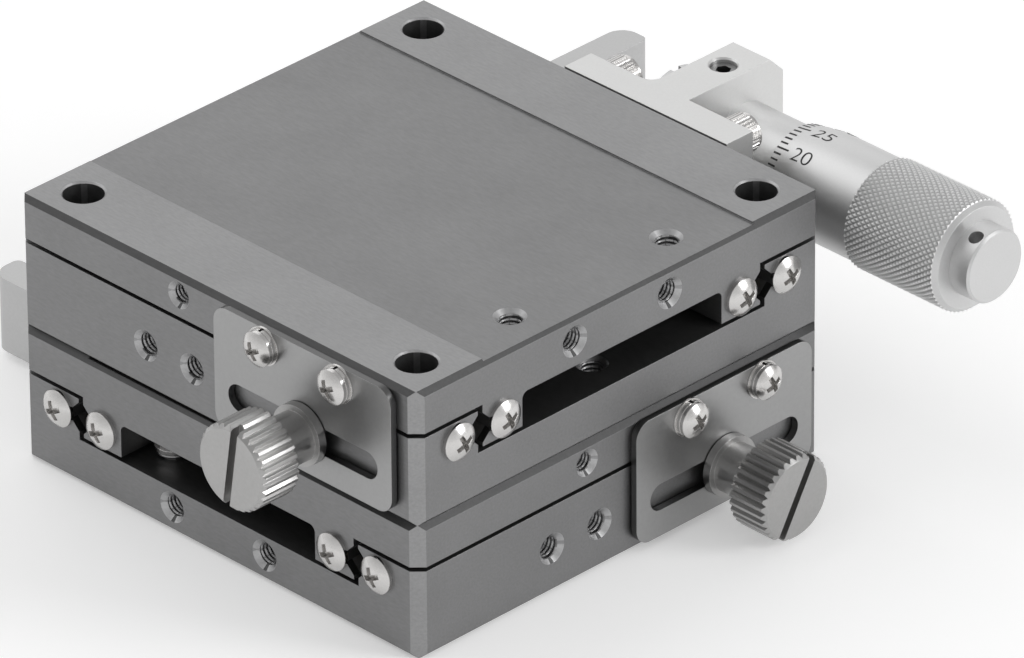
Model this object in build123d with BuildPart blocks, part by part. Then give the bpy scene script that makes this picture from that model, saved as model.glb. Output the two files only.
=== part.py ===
from build123d import *
import os

os.makedirs("parts", exist_ok=True)

# A two-axis translation stage made of two equal single-axis stages. Each is drawn in its own
# frame: X is its travel, Z is up, and its bottom face is Z = 0. All sizes are millimetres.

# Plates
plate_side = 60.0
base_height = 10.5
table_gap = 0.5
lip_height = 5.0
web_height = 6.0
channel_depth = 5.0
tongue_clearance = 0.5
channel_width = 29.4
channel_corner = 0.8
upright_chamfer = 1.25
rim_chamfer = 0.6
recess_depth = 0.2
recess_width = 39.8
travel = 6.5

# Ball ways between the base walls and the table tongues
way_offset = 20.8
way_gap = 0.7
end_screw_reach = 3.3
ball_diameter = 3.0
ball_play = 0.01
way_relief = 0.03
balls_per_row = 6
cage_margin = 0.7
cage_thickness = 0.44
cage_end_gap = 2.75
cage_end = 4.0
cage_hole_play = 0.03

# Holes in the plates
corner_inset = 5.0
corner_hole = 4.5
corner_tap = 3.3
m3_tap = 2.5
m25_tap = 2.05
tap_chamfer = 0.55
corner_chamfer = 0.2
tap_depth = 6.0
top_tap_inset = 5.0
top_tap_spacing = 23.0
end_tap_spacing = 14.0
table_end_tap_drop = 3.05
base_end_tap_height = 3.15
side_tap_x = (-10.5, -3.5)
side_tap_height = 5.4
bracket_tap_inset = 3.2
side_screw_drop = 2.4
floor_tap_inset = 4.6

# Screws
thread_play = 0.03
screw_tip_gap = 1.0
m3_diameter = 3.0
m25_diameter = 2.5
hex_key_m25 = 2.0
hex_key_m3 = 2.0
cross_width = 0.65
cross_share = 0.54
cross_depth = 0.9
cross_turn = 25.0
pan_head = 4.3
pan_head_height = 1.25
pan_head_rise = 0.8
plate_head = 4.0
end_screw_wall = 0.35
cap_head = 4.5
cap_head_height = 2.5
cap_flutes = 30
cap_flute_depth = 0.12
flat_head = 5.6
joining_screw_spots = ((-18.0, -8.0), (-18.0, 8.0), (18.0, -8.0), (18.0, 8.0))
joining_engagement = 4.0

# Lock plate and its thumb screw, on the -Y side
lock_plate_thickness = 1.0
lock_plate_inset = 2.7
lock_plate_top_drop = 0.3
lock_plate_foot = 0.9
lock_plate_corner = 2.0
lock_plate_relief = 0.15
lock_plate_edge = 0.25
lock_slot_play = 0.2
lock_slot_spare = 3.0
lock_slot_wall = 2.05
lock_screw_spacing = 11.0
lock_screw_drop = 2.3
flat_washer = 4.4
flat_washer_thickness = 0.25
spring_washer = 4.1
spring_washer_thickness = 0.5
spring_washer_split = 0.4
washer_play = 0.2
thumb_offset = 0.15
thumb_height = 5.65
thumb_tip_wall = 2.17
thumb_flange = 7.0
thumb_flange_thickness = 1.0
thumb_neck = 5.7
thumb_neck_length = 4.3
thumb_head = 9.9
thumb_head_length = 5.1
thumb_head_chamfer = 0.45
thumb_flutes = 32
thumb_flute_depth = 0.32
thumb_slot_width = 1.0
thumb_slot_depth = 1.3
thumb_seat_gap = 0.1
slot_tilt = {"x": -8.6, "y": -30.0}

# Micrometer head and its bracket, on the +Y side
screw_pitch = 0.5
spindle_reach = 12.1
spindle_axis_z = 7.1
bar_x = 3.6
bar_length = 24.2
bar_thickness = 4.0
bar_height = 4.8
stem_x = 3.4
stem_width = 5.5
stem_beyond = 6.3
stem_end_chamfer = 2.0
stem_foot = 1.6
stem_inner_gap = 1.8
stem_fillet = 1.5
stem_corner = 2.0
nose_diameter = 6.0
nose_reach = 5.6
sleeve_diameter = 9.96
sleeve_length = 25.8
nose_wall = 0.25
nut_diameter = 11.0
nut_length = 4.6
nut_slot_width = 1.2
nut_slot_depth = 0.7
spindle_diameter = 3.5
thread_room = 0.35
spindle_thread_x = 12.5
spindle_tip_chamfer = 0.4
running_play = 0.05
thimble_x = 14.5
thimble_lip = 0.445
thimble_wall = 1.02
thimble_bevel = 4.0
knurl_x = 27.5
knurl_rise = 0.4
knurl_length = 12.6
knurl_chamfer = 0.6
thimble_end_wall = 1.6
cap_diameter = 8.4
cap_length = 2.8
cap_edge = 0.25
spanner_hole = 1.7
spanner_hole_depth = 2.0
spanner_hole_angle = 114.0

# Anvil that the spindle pushes against
anvil_front_gap = 3.25
anvil_thickness = 4.0
anvil_foot_edge = 0.1
anvil_foot_thickness = 4.0
anvil_beyond = 5.9
anvil_bottom = 1.0
anvil_top = 10.0
anvil_back_radius = 2.2
anvil_front_radius = 0.8
anvil_inner_fillet = 1.0

# Return spring in the channel
spring_post_inset = 5.0
post_side_gap = 0.6
spring_far_x = 12.0
spring_coil = 3.0
spring_end = 4.0
spring_wire = 0.5
spring_floor_gap = 0.2
post_neck = 2.4
post_head_height = 0.8
post_clearance = 0.1

# Worked out from the sizes above
half_side = plate_side / 2
floor_height = base_height - channel_depth
lip_bottom = base_height + table_gap
stage_height = lip_bottom + lip_height
web_bottom = stage_height - web_height
tongue_bottom = floor_height + tongue_clearance
wall_y = way_offset + way_gap / 2
tongue_y = way_offset - way_gap / 2
way_z = (floor_height + lip_bottom) / 2
tongue_inner_y = channel_width / 2
ball_radius = ball_diameter / 2
way_reach = (ball_radius + ball_play) * 2 ** 0.5
way_flat = ball_radius + way_relief
way_notch = way_reach - way_flat
cage_height = lip_bottom - floor_height - 2 * cage_margin
cage_length = plate_side - travel - 2 * cage_end_gap
ball_pitch = (cage_length - 2 * cage_end) / (balls_per_row - 1)
corner_pitch = plate_side - 2 * corner_inset
top_tap_x = half_side - top_tap_inset
floor_tap_x = half_side - floor_tap_inset
bracket_tap_reach = bar_length / 2 - bracket_tap_inset
bracket_tap_x = (bar_x - bracket_tap_reach, bar_x + bracket_tap_reach)
end_screw_length = corner_inset - corner_tap / 2 - end_screw_wall
base_end_screw_y = way_offset + end_screw_reach
table_end_screw_y = way_offset - end_screw_reach
lock_slot_width = m3_diameter + lock_slot_play
lock_slot_length = 2 * travel + lock_slot_width + 2 * lock_slot_spare
lock_plate_length = lock_slot_length + 2 * lock_slot_wall
lock_plate_x = half_side - lock_plate_inset - lock_plate_length / 2
lock_plate_top = stage_height - lock_plate_top_drop
lock_screw_x = (lock_plate_x - lock_screw_spacing / 2, lock_plate_x + lock_screw_spacing / 2)
lock_face_y = -half_side - lock_plate_thickness
washer_stack = flat_washer_thickness + spring_washer_thickness
thumb_x = lock_plate_x + thumb_offset
thumb_engagement = half_side - way_offset - way_flat - thumb_tip_wall
bracket_face_y = half_side + bar_thickness
side_screw_z = stage_height - side_screw_drop
lock_screw_z = stage_height - lock_screw_drop
spindle_axis_y = half_side + spindle_reach
stem_face_x = stem_x + stem_width / 2
stem_back_x = stem_x - stem_width / 2
sleeve_bore = nose_diameter - 2 * nose_wall
spindle_thread = sleeve_bore - 2 * thread_room
drum_bore = sleeve_diameter / 2 + running_play
drum_radius = drum_bore + thimble_wall
grip_radius = drum_radius + knurl_rise
thimble_end_x = knurl_x + knurl_length + knurl_chamfer
anvil_x = side_tap_x[0] - anvil_front_gap
anvil_foot_end = side_tap_x[1] + flat_head / 2 + anvil_foot_edge
anvil_reach = spindle_reach + anvil_beyond
anvil_screw_length = anvil_foot_thickness + tap_depth - screw_tip_gap
joining_screw_length = floor_height + joining_engagement
spring_y = tongue_inner_y - plate_head / 2 - post_side_gap
spring_post_x = spring_post_inset - half_side
spring_height = floor_height + spring_coil / 2 + spring_floor_gap
outward = {"-y": (0, -1, 0), "+y": (0, 1, 0), "-x": (-1, 0, 0), "+x": (1, 0, 0)}
outward |= {"-z": (0, 0, -1), "+z": (0, 0, 1)}
rightward = {"-y": (1, 0, 0), "+y": (-1, 0, 0), "-x": (0, -1, 0), "+x": (0, 1, 0)}
rightward |= {"-z": (1, 0, 0), "+z": (1, 0, 0)}
corner_spots = [(corner_pitch * x, corner_pitch * y) for x in (-0.5, 0.5) for y in (-0.5, 0.5)]
end_tap_spots = (-end_tap_spacing / 2, end_tap_spacing / 2)

# Where each stage stands: y is the lower one, turned a quarter turn, and x stands on it
stages = {"y": Location((0, 0, 0), (0, 0, 90)), "x": Location((0, 0, stage_height))}


def spots(points, facing):
    """Places at the given points that look out of the material along facing, with Z up on a side."""
    planes = [Plane(origin=point, x_dir=rightward[facing], z_dir=outward[facing]) for point in points]
    return Locations(*[plane.location for plane in planes])


def write(piece, name):
    """Label a finished piece and write it as its own file."""
    piece.label = name
    export_step(piece, f"parts/{name}.step")


def way_profile(mode):
    """The hexagon that both grooves of a ball way make together, in each of the two ways."""
    corners = [(-way_flat, way_notch), (0, way_reach), (way_flat, way_notch)]
    corners += [(-y, -z) for y, z in corners]
    with Locations((way_offset, way_z), (-way_offset, way_z)):
        Polygon(*corners, align=None, mode=mode)


def turned(points):
    """Turn a profile of (along X, radius) points about the micrometer's axis."""
    profile_plane = Plane(origin=(0, spindle_axis_y, spindle_axis_z), x_dir=(1, 0, 0), z_dir=(0, -1, 0))
    with BuildSketch(profile_plane, mode=Mode.PRIVATE) as profile:
        Polygon(*points, align=None)
    revolve(profile.sketch, axis=Axis((0, spindle_axis_y, spindle_axis_z), (1, 0, 0)))


def make_base(has_joining_holes):
    """Lower plate of a stage: a block with a channel and a ball groove in each wall."""
    with BuildPart() as base:
        Box(plate_side, plate_side, base_height, align=(Align.CENTER, Align.CENTER, Align.MIN))
        chamfer(base.faces().sort_by(Axis.Z)[0].edges(), rim_chamfer)
        with BuildSketch() as outline:
            Rectangle(plate_side, plate_side)
            chamfer(outline.vertices(), upright_chamfer)
        extrude(amount=base_height, mode=Mode.INTERSECT)
        with BuildSketch(Plane.YZ):
            with Locations((0, floor_height)):
                Rectangle(2 * wall_y, base_height, align=(Align.CENTER, Align.MIN))
            way_profile(Mode.ADD)
        extrude(amount=half_side, both=True, mode=Mode.SUBTRACT)
        with spots([(x, y, 0) for x, y in corner_spots], "-z"):
            CounterSinkHole(corner_tap / 2, corner_tap / 2 + tap_chamfer, counter_sink_angle=90)
        for side, facing in ((-half_side, "-y"), (half_side, "+y")):
            with spots([(x, side, side_tap_height) for x in side_tap_x], facing):
                CounterSinkHole(m3_tap / 2, m3_tap / 2 + tap_chamfer, tap_depth, 90)
        with spots([(thumb_x, -half_side, thumb_height)], "-y"):
            Hole(m3_diameter / 2, thumb_engagement + thumb_seat_gap)
        with spots([(-half_side, y, base_end_tap_height) for y in end_tap_spots], "-x"):
            CounterSinkHole(m3_tap / 2, m3_tap / 2 + tap_chamfer, tap_depth, 90)
        for x, facing in ((-half_side, "-x"), (half_side, "+x")):
            with spots([(x, y, way_z) for y in (-base_end_screw_y, base_end_screw_y)], facing):
                Hole(m25_tap / 2, end_screw_length)
        with spots([(spring_post_x, spring_y, floor_height)], "+z"):
            Hole(m25_tap / 2, floor_height)
        with spots([(floor_tap_x, 0, floor_height)], "+z"):
            CounterSinkHole(m3_tap / 2, m3_tap / 2 + tap_chamfer, floor_height, 90)
        if has_joining_holes:
            with spots([(x, y, floor_height) for x, y in joining_screw_spots], "+z"):
                CounterSinkHole(m3_diameter / 2, flat_head / 2, floor_height, 90)
    return base.part


def make_table(has_joining_holes):
    """Upper plate of a stage: a slab with two tongues that hang between the base walls."""
    with BuildPart() as table:
        with Locations((0, 0, lip_bottom)):
            Box(plate_side, plate_side, lip_height, align=(Align.CENTER, Align.CENTER, Align.MIN))
        chamfer(table.faces().sort_by(Axis.Z)[-1].edges(), rim_chamfer)
        with BuildSketch(Plane.XY.offset(lip_bottom)) as outline:
            Rectangle(plate_side, plate_side)
            chamfer(outline.vertices(), upright_chamfer)
        extrude(amount=lip_height, mode=Mode.INTERSECT)
        with BuildSketch(Plane.YZ) as section:
            with Locations((0, tongue_bottom)):
                Rectangle(2 * tongue_y, lip_bottom - tongue_bottom, align=(Align.CENTER, Align.MIN))
            with Locations((0, tongue_bottom)):
                hollow_height = web_bottom - tongue_bottom
                Rectangle(channel_width, hollow_height, align=(Align.CENTER, Align.MIN), mode=Mode.SUBTRACT)
            fillet(section.vertices().filter_by(lambda v: abs(v.Y - web_bottom) < 0.01), channel_corner)
            way_profile(Mode.SUBTRACT)
        extrude(amount=half_side, both=True)
        with Locations((0, 0, stage_height)):
            Box(plate_side, recess_width, 2 * recess_depth, mode=Mode.SUBTRACT)
        with spots([(x, y, stage_height) for x, y in corner_spots], "+z"):
            CounterSinkHole(corner_hole / 2, corner_hole / 2 + corner_chamfer, lip_height, 90)
        recess_z = stage_height - recess_depth
        with spots([(top_tap_x, y, recess_z) for y in (-top_tap_spacing / 2, top_tap_spacing / 2)], "+z"):
            CounterSinkHole(m3_tap / 2, m3_tap / 2 + tap_chamfer, web_height, 90)
        end_tap_z = stage_height - table_end_tap_drop
        with spots([(half_side, y, end_tap_z) for y in end_tap_spots], "+x"):
            CounterSinkHole(m3_tap / 2, m3_tap / 2 + tap_chamfer, tap_depth, 90)
        for x, facing in ((-half_side, "-x"), (half_side, "+x")):
            with spots([(x, y, way_z) for y in (-table_end_screw_y, table_end_screw_y)], facing):
                Hole(m25_tap / 2, end_screw_length)
        for side, facing in ((-half_side, "-y"), (half_side, "+y")):
            with spots([(x, side, side_screw_z) for x in bracket_tap_x], facing):
                CounterSinkHole(m25_tap / 2, m25_tap / 2 + tap_chamfer, tap_depth, 90)
        with spots([(x, -half_side, lock_screw_z) for x in lock_screw_x], "-y"):
            Hole(m25_tap / 2, tap_depth)
        with spots([(spring_far_x, spring_y, web_bottom)], "-z"):
            Hole(m25_tap / 2, web_height / 2)
        if has_joining_holes:
            quarter_turn = [(y, -x, recess_z) for x, y in joining_screw_spots]
            with spots(quarter_turn, "+z"):
                Hole(m3_tap / 2, web_height)
    return table.part


def make_cages():
    """Two strips that hold the balls apart, one in each way."""
    with BuildPart() as cages:
        with Locations((0, way_offset, way_z), (0, -way_offset, way_z)):
            Box(cage_length, cage_thickness, cage_height)
        with BuildSketch(Plane.XZ):
            with Locations((0, way_z)):
                with GridLocations(ball_pitch, 1, balls_per_row, 1):
                    Circle(ball_radius + cage_hole_play)
        extrude(amount=half_side, both=True, mode=Mode.SUBTRACT)
    return cages.part


def make_balls():
    """Two rows of hardened balls."""
    with BuildPart() as balls:
        with Locations((0, way_offset, way_z), (0, -way_offset, way_z)):
            with GridLocations(ball_pitch, 1, balls_per_row, 1):
                Sphere(ball_radius)
    return balls.part


def make_pan_screw(head_diameter, shank_diameter, shank_length):
    """Pan head screw with a cross recess. Its seat is Z = 0 and its shank hangs below."""
    head = head_diameter / 2
    shank = shank_diameter / 2
    rim = pan_head_height - pan_head_rise
    dome = (head ** 2 + pan_head_rise ** 2) / (2 * pan_head_rise)
    middle = (head * 0.6, pan_head_height - dome + (dome ** 2 - (head * 0.6) ** 2) ** 0.5)
    with BuildPart() as screw:
        with BuildSketch(Plane.XZ):
            with BuildLine():
                edge = Line((head, 0), (head, rim))
                crown = ThreePointArc(edge @ 1, middle, (0, pan_head_height))
                Polyline(crown @ 1, (0, -shank_length), (shank, -shank_length), (shank, 0), edge @ 0)
            make_face()
        revolve(axis=Axis.Z)
        with BuildSketch(Plane.XY.offset(pan_head_height)):
            Rectangle(head_diameter * cross_share, cross_width, rotation=cross_turn)
            Rectangle(cross_width, head_diameter * cross_share, rotation=cross_turn)
        extrude(amount=-cross_depth, taper=12, mode=Mode.SUBTRACT)
    return screw.part


def make_cap_screw(shank_length):
    """Socket head cap screw that holds the micrometer bracket."""
    flute_side = 2 ** 0.5 * cap_flute_depth
    with BuildPart() as screw:
        with BuildSketch():
            Circle(cap_head / 2)
            with PolarLocations(cap_head / 2, cap_flutes):
                Rectangle(flute_side, flute_side, rotation=45, mode=Mode.SUBTRACT)
        extrude(amount=cap_head_height * 0.85)
        with BuildSketch(Plane.XY.offset(cap_head_height * 0.85)):
            Circle(cap_head / 2 - cap_flute_depth)
        extrude(amount=cap_head_height * 0.15)
        with BuildSketch(Plane.XY.offset(cap_head_height)):
            RegularPolygon(hex_key_m25 / 2, 6, major_radius=False)
        extrude(amount=-cap_head_height / 2, mode=Mode.SUBTRACT)
        Cylinder(m25_tap / 2 - thread_play, shank_length, align=(Align.CENTER, Align.CENTER, Align.MAX))
    return screw.part


def make_flat_screw(shank_length):
    """Countersunk socket screw whose head top is Z = 0."""
    head = flat_head / 2 - thread_play
    shank = m3_tap / 2 - thread_play
    with BuildPart() as screw:
        with BuildSketch(Plane.XZ):
            cone = [(0, 0), (head, 0), (shank, shank - head)]
            Polygon(*cone, (shank, -shank_length), (0, -shank_length), align=None)
        revolve(axis=Axis.Z)
        with BuildSketch():
            RegularPolygon(hex_key_m3 / 2, 6, major_radius=False)
        extrude(amount=-hex_key_m3 / 2, mode=Mode.SUBTRACT)
    return screw.part


def group(screw, points, facing):
    """Copies of one screw with their seats at the given points."""
    with BuildPart() as screws:
        with spots(points, facing):
            add(screw)
    return screws.part


def make_lock_plate():
    """Sheet that hangs from the table beside the base, with a slot for the thumb screw."""
    middle_z = (lock_plate_foot + lock_plate_top) / 2
    plate_height = lock_plate_top - lock_plate_foot
    with BuildPart() as plate:
        with BuildSketch(Plane.XZ.offset(half_side)):
            with Locations((lock_plate_x, middle_z)):
                RectangleRounded(lock_plate_length, plate_height, lock_plate_corner)
        extrude(amount=lock_plate_thickness)
        chamfer(plate.faces().sort_by(Axis.Y)[-1].edges(), lock_plate_edge)
        with BuildSketch(Plane.XZ.offset(half_side)):
            with Locations((lock_plate_x, thumb_height)):
                SlotOverall(lock_slot_length, lock_slot_width)
            with Locations(*[(x, lock_screw_z) for x in lock_screw_x]):
                Circle(m25_diameter / 2)
        extrude(amount=lock_plate_thickness, mode=Mode.SUBTRACT)
        with BuildSketch(Plane.YZ):
            with Locations((-half_side, 0)):
                Rectangle(2 * lock_plate_relief, 2 * lip_bottom - table_gap)
        extrude(amount=half_side, mode=Mode.SUBTRACT)
    return plate.part


def make_washers(diameter, thickness, seat, split):
    """Two washers under the lock plate's screws, with their near faces at seat above the plate."""
    with BuildPart() as washers:
        with BuildSketch(Plane.XZ.offset(-lock_face_y + seat)):
            with Locations(*[(x, lock_screw_z) for x in lock_screw_x]):
                Circle(diameter / 2)
                Circle(m25_diameter / 2 + washer_play, mode=Mode.SUBTRACT)
                if split:
                    Rectangle(split, diameter, align=(Align.CENTER, Align.MIN), mode=Mode.SUBTRACT)
        extrude(amount=thickness)
    return washers.part


def make_thumb_screw(tilt):
    """Knurled thumb screw. Z looks away from the stage and Z = 0 is the lock plate's outer face."""
    neck_z = thumb_seat_gap + thumb_flange_thickness
    head_z = neck_z + thumb_neck_length
    face_z = head_z + thumb_head_length
    head_radius = thumb_head / 2
    flute_side = 2 ** 0.5 * thumb_flute_depth
    with BuildPart() as screw:
        with BuildSketch(Plane.XY.offset(head_z)):
            Circle(head_radius)
            with PolarLocations(head_radius, thumb_flutes):
                Rectangle(flute_side, flute_side, rotation=45, mode=Mode.SUBTRACT)
        extrude(amount=thumb_head_length)
        with BuildSketch(Plane.XZ):
            inner = head_radius - thumb_head_chamfer
            outer = head_radius + thumb_head_chamfer
            Polygon((inner, face_z), (outer, face_z), (outer, face_z + inner - outer), align=None)
        revolve(axis=Axis.Z, mode=Mode.SUBTRACT)
        with BuildSketch(Plane.XY.offset(face_z)):
            Rectangle(thumb_slot_width, thumb_head * 1.1, rotation=tilt)
        extrude(amount=-thumb_slot_depth, mode=Mode.SUBTRACT)
        with BuildSketch(Plane.XY.offset(thumb_seat_gap)):
            Circle(thumb_flange / 2)
        extrude(amount=thumb_flange_thickness)
        with BuildSketch(Plane.XY.offset(neck_z)):
            Circle(thumb_neck / 2)
        extrude(amount=thumb_neck_length)
        with BuildSketch(Plane.XY.offset(thumb_seat_gap)):
            Circle(m3_diameter / 2 - running_play)
        extrude(amount=-thumb_seat_gap - lock_plate_thickness - thumb_engagement)
    return screw.part


def make_bracket():
    """T-shaped holder: a bar screwed to the table's side and a stem that grips the micrometer."""
    bar_bottom = stage_height - recess_depth - bar_height
    bar_top = bar_bottom + bar_height
    stem_end_y = spindle_axis_y + stem_beyond
    stem_reach = stem_end_y - half_side
    stem_inner_y = bracket_face_y + stem_inner_gap
    with BuildPart() as bracket:
        with BuildSketch(Plane.XY.offset(bar_bottom)) as plan:
            with Locations((bar_x, half_side)):
                Rectangle(bar_length, bar_thickness, align=(Align.CENTER, Align.MIN))
            with Locations((stem_x, half_side)):
                Rectangle(stem_width, stem_reach, align=(Align.CENTER, Align.MIN))
            root = plan.vertices().filter_by(lambda v: abs(v.Y - bracket_face_y) < 0.01)
            fillet(root.filter_by(lambda v: abs(v.X - stem_back_x) < 0.01), stem_fillet)
        extrude(amount=bar_height)
        with BuildSketch(Plane.YZ.offset(stem_back_x)) as side:
            upper_z = bar_bottom + stem_inner_gap
            upper = [(bracket_face_y, upper_z), (stem_end_y, upper_z)]
            lower = [(stem_end_y, stem_foot), (stem_inner_y, stem_foot)]
            slope = [(stem_inner_y, bar_bottom - stem_inner_gap), (bracket_face_y, bar_bottom)]
            Polygon(*upper, *lower, *slope, align=None)
            fillet(side.vertices().filter_by(lambda v: abs(v.Y - stem_foot) < 0.01), stem_corner)
        extrude(amount=stem_width)
        top_end = bracket.edges().filter_by(Axis.X).group_by(Axis.Y)[-1].sort_by(Axis.Z)[-1]
        chamfer(top_end, stem_end_chamfer)
        with spots([(stem_face_x, spindle_axis_y, spindle_axis_z)], "+x"):
            Hole(nose_diameter / 2 + running_play, stem_width)
        with spots([(stem_x, spindle_axis_y, bar_top)], "+z"):
            CounterSinkHole(m3_diameter / 2, m3_diameter / 2 + tap_chamfer / 3, bar_top - spindle_axis_z, 90)
        with spots([(x, bracket_face_y, side_screw_z) for x in bracket_tap_x], "+y"):
            Hole(m25_diameter / 2 + running_play, bar_thickness)
    return bracket.part


def make_set_screw():
    """Grub screw that pins the micrometer in its bracket."""
    seat_z = spindle_axis_z + nose_diameter / 2
    top_z = stage_height - recess_depth - tap_chamfer
    with BuildPart() as screw:
        with BuildSketch(Plane(origin=(stem_x, spindle_axis_y, seat_z))):
            Circle(m3_diameter / 2 - thread_play)
        extrude(amount=top_z - seat_z)
        with BuildSketch(Plane(origin=(stem_x, spindle_axis_y, top_z))):
            RegularPolygon(hex_key_m3 * 0.375, 6, major_radius=False)
        extrude(amount=-hex_key_m3, mode=Mode.SUBTRACT)
    return screw.part


def make_sleeve():
    """Fixed barrel of the micrometer, with the thin nose that goes through the bracket."""
    nose = nose_diameter / 2
    barrel = sleeve_diameter / 2
    guide = spindle_diameter / 2 + running_play
    front_x = stem_back_x - nose_reach
    end_x = stem_face_x + sleeve_length
    outside = [(front_x, guide), (front_x, nose), (stem_face_x, nose), (stem_face_x, barrel)]
    end = [(end_x, barrel), (end_x, sleeve_bore / 2)]
    inside = [(stem_back_x, sleeve_bore / 2), (stem_back_x, guide)]
    with BuildPart() as sleeve:
        turned(outside + end + inside)
    return sleeve.part


def make_sleeve_nut():
    """Slotted ring nut that holds the barrel against the bracket."""
    back_x = stem_back_x - nut_length
    bore = nose_diameter / 2 + thread_play
    outer = nut_diameter / 2
    with BuildPart() as nut:
        turned([(back_x, bore), (back_x, outer), (stem_back_x, outer), (stem_back_x, bore)])
        with BuildSketch(Plane.YZ.offset(back_x)):
            with Locations((spindle_axis_y, spindle_axis_z)):
                Rectangle(nut_slot_width, nut_diameter * 1.1)
                Circle(outer - nut_slot_depth, mode=Mode.SUBTRACT)
        extrude(amount=nut_length / 2, mode=Mode.SUBTRACT)
    return nut.part


def make_thimble():
    """Turning drum of the micrometer: a bevelled front edge, a smooth drum and a knurled grip."""
    end_x = thimble_end_x
    wall_x = end_x - thimble_end_wall
    bevel = [(thimble_x, drum_bore + thimble_lip), (thimble_x + thimble_bevel, drum_radius)]
    front = [(thimble_x, drum_bore)] + bevel + [(knurl_x, drum_radius), (knurl_x, grip_radius)]
    rim = [(knurl_x + knurl_length, grip_radius), (end_x, grip_radius - knurl_chamfer)]
    hub = spindle_thread / 2 + thread_play
    end = [(end_x, hub), (wall_x, hub), (wall_x, drum_bore)]
    with BuildPart() as thimble:
        turned(front + rim + end)
    return thimble.part


def make_spindle():
    """Spindle with its thread, from the anvil to the thimble's end wall."""
    tip_x = anvil_x + running_play
    rod = spindle_diameter / 2
    thread = spindle_thread / 2
    end_x = thimble_end_x
    tip = [(tip_x, 0), (tip_x, rod - spindle_tip_chamfer), (tip_x + spindle_tip_chamfer, rod)]
    with BuildPart() as spindle:
        turned(tip + [(spindle_thread_x, rod), (spindle_thread_x, thread), (end_x, thread), (end_x, 0)])
    return spindle.part


def make_thimble_cap():
    """Cap on the end of the thimble, with a hole for a pin spanner."""
    radius = cap_diameter / 2
    end_x = thimble_end_x + cap_length
    middle = Plane(origin=(end_x - cap_length * 0.45, spindle_axis_y, spindle_axis_z), z_dir=(0, 0, 1))
    radial = middle.rotated((spanner_hole_angle - 90, 0, 0))
    with BuildPart() as cap:
        edge = [(end_x - cap_edge, radius), (end_x, radius - cap_edge)]
        turned([(thimble_end_x, 0), (thimble_end_x, radius)] + edge + [(end_x, 0)])
        with BuildSketch(radial.offset(radius - spanner_hole_depth)):
            Circle(spanner_hole / 2)
        extrude(amount=spanner_hole_depth * 1.5, mode=Mode.SUBTRACT)
    return cap.part


def make_anvil():
    """L-shaped stop on the base's side that the spindle pushes against."""
    finger_back = anvil_x - anvil_thickness
    foot_y = half_side + anvil_foot_thickness
    with BuildPart() as anvil:
        with BuildSketch(Plane.XY.offset(anvil_bottom)) as plan:
            with Locations((finger_back, half_side)):
                Rectangle(anvil_foot_end - finger_back, anvil_foot_thickness, align=(Align.MIN, Align.MIN))
                Rectangle(anvil_thickness, anvil_reach, align=(Align.MIN, Align.MIN))
            back = plan.vertices().filter_by(lambda v: v.Y > foot_y + 1 and v.X < anvil_x - 1)
            fillet(back, anvil_back_radius)
            front = plan.vertices().filter_by(lambda v: v.Y > foot_y + 1 and v.X > anvil_x - 1)
            fillet(front, anvil_front_radius)
            inner = plan.vertices().filter_by(lambda v: abs(v.X - anvil_x) < 0.01 and v.Y < foot_y + 1)
            fillet(inner, anvil_inner_fillet)
        extrude(amount=anvil_top - anvil_bottom)
        with spots([(x, foot_y, side_tap_height) for x in side_tap_x], "+y"):
            CounterSinkHole(m3_diameter / 2, flat_head / 2, anvil_foot_thickness, 90)
    return anvil.part


def make_spring():
    """Return spring drawn as its closed outer shape, with a straight hook wire at each end."""
    coil_start = spring_post_x + spring_end
    coil_end = spring_far_x - spring_end
    wire_offset = spring_coil / 2 - spring_wire / 2
    reach = spring_end - post_neck / 2 - post_clearance
    with BuildPart() as spring:
        with BuildSketch(Plane.YZ.offset(coil_start)):
            with Locations((spring_y, spring_height)):
                Circle(spring_coil / 2)
                Circle(spring_coil / 2 - spring_wire, mode=Mode.SUBTRACT)
        extrude(amount=coil_end - coil_start)
        with BuildSketch(Plane.YZ.offset(coil_start)):
            with Locations((spring_y, spring_height - wire_offset)):
                Circle(spring_wire / 2)
        extrude(amount=-reach)
        with BuildSketch(Plane.YZ.offset(coil_end)):
            with Locations((spring_y, spring_height + wire_offset)):
                Circle(spring_wire / 2)
        extrude(amount=reach)
    return spring.part


def make_base_post():
    """Low screw in the channel floor, with a neck for the spring's fixed end."""
    neck_top = spring_height - spring_coil / 2 + spring_wire + post_clearance
    head_top = neck_top + post_head_height
    with BuildPart() as post:
        with BuildSketch(Plane.XY):
            with Locations((spring_post_x, spring_y)):
                Circle(m25_tap / 2 - thread_play)
        extrude(amount=floor_height)
        with BuildSketch(Plane.XY.offset(floor_height)):
            with Locations((spring_post_x, spring_y)):
                Circle(post_neck / 2)
        extrude(amount=neck_top - floor_height)
        with BuildSketch(Plane.XY.offset(neck_top)):
            with Locations((spring_post_x, spring_y)):
                Circle(plate_head / 2)
        extrude(amount=post_head_height)
        chamfer(post.faces().sort_by(Axis.Z)[-1].edges(), post_head_height / 3)
        with BuildSketch(Plane.XY.offset(head_top)):
            with Locations((spring_post_x, spring_y)):
                Rectangle(plate_head * cross_share, cross_width)
                Rectangle(cross_width, plate_head * cross_share)
        extrude(amount=-post_head_height * 0.7, mode=Mode.SUBTRACT)
    return post.part


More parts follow.
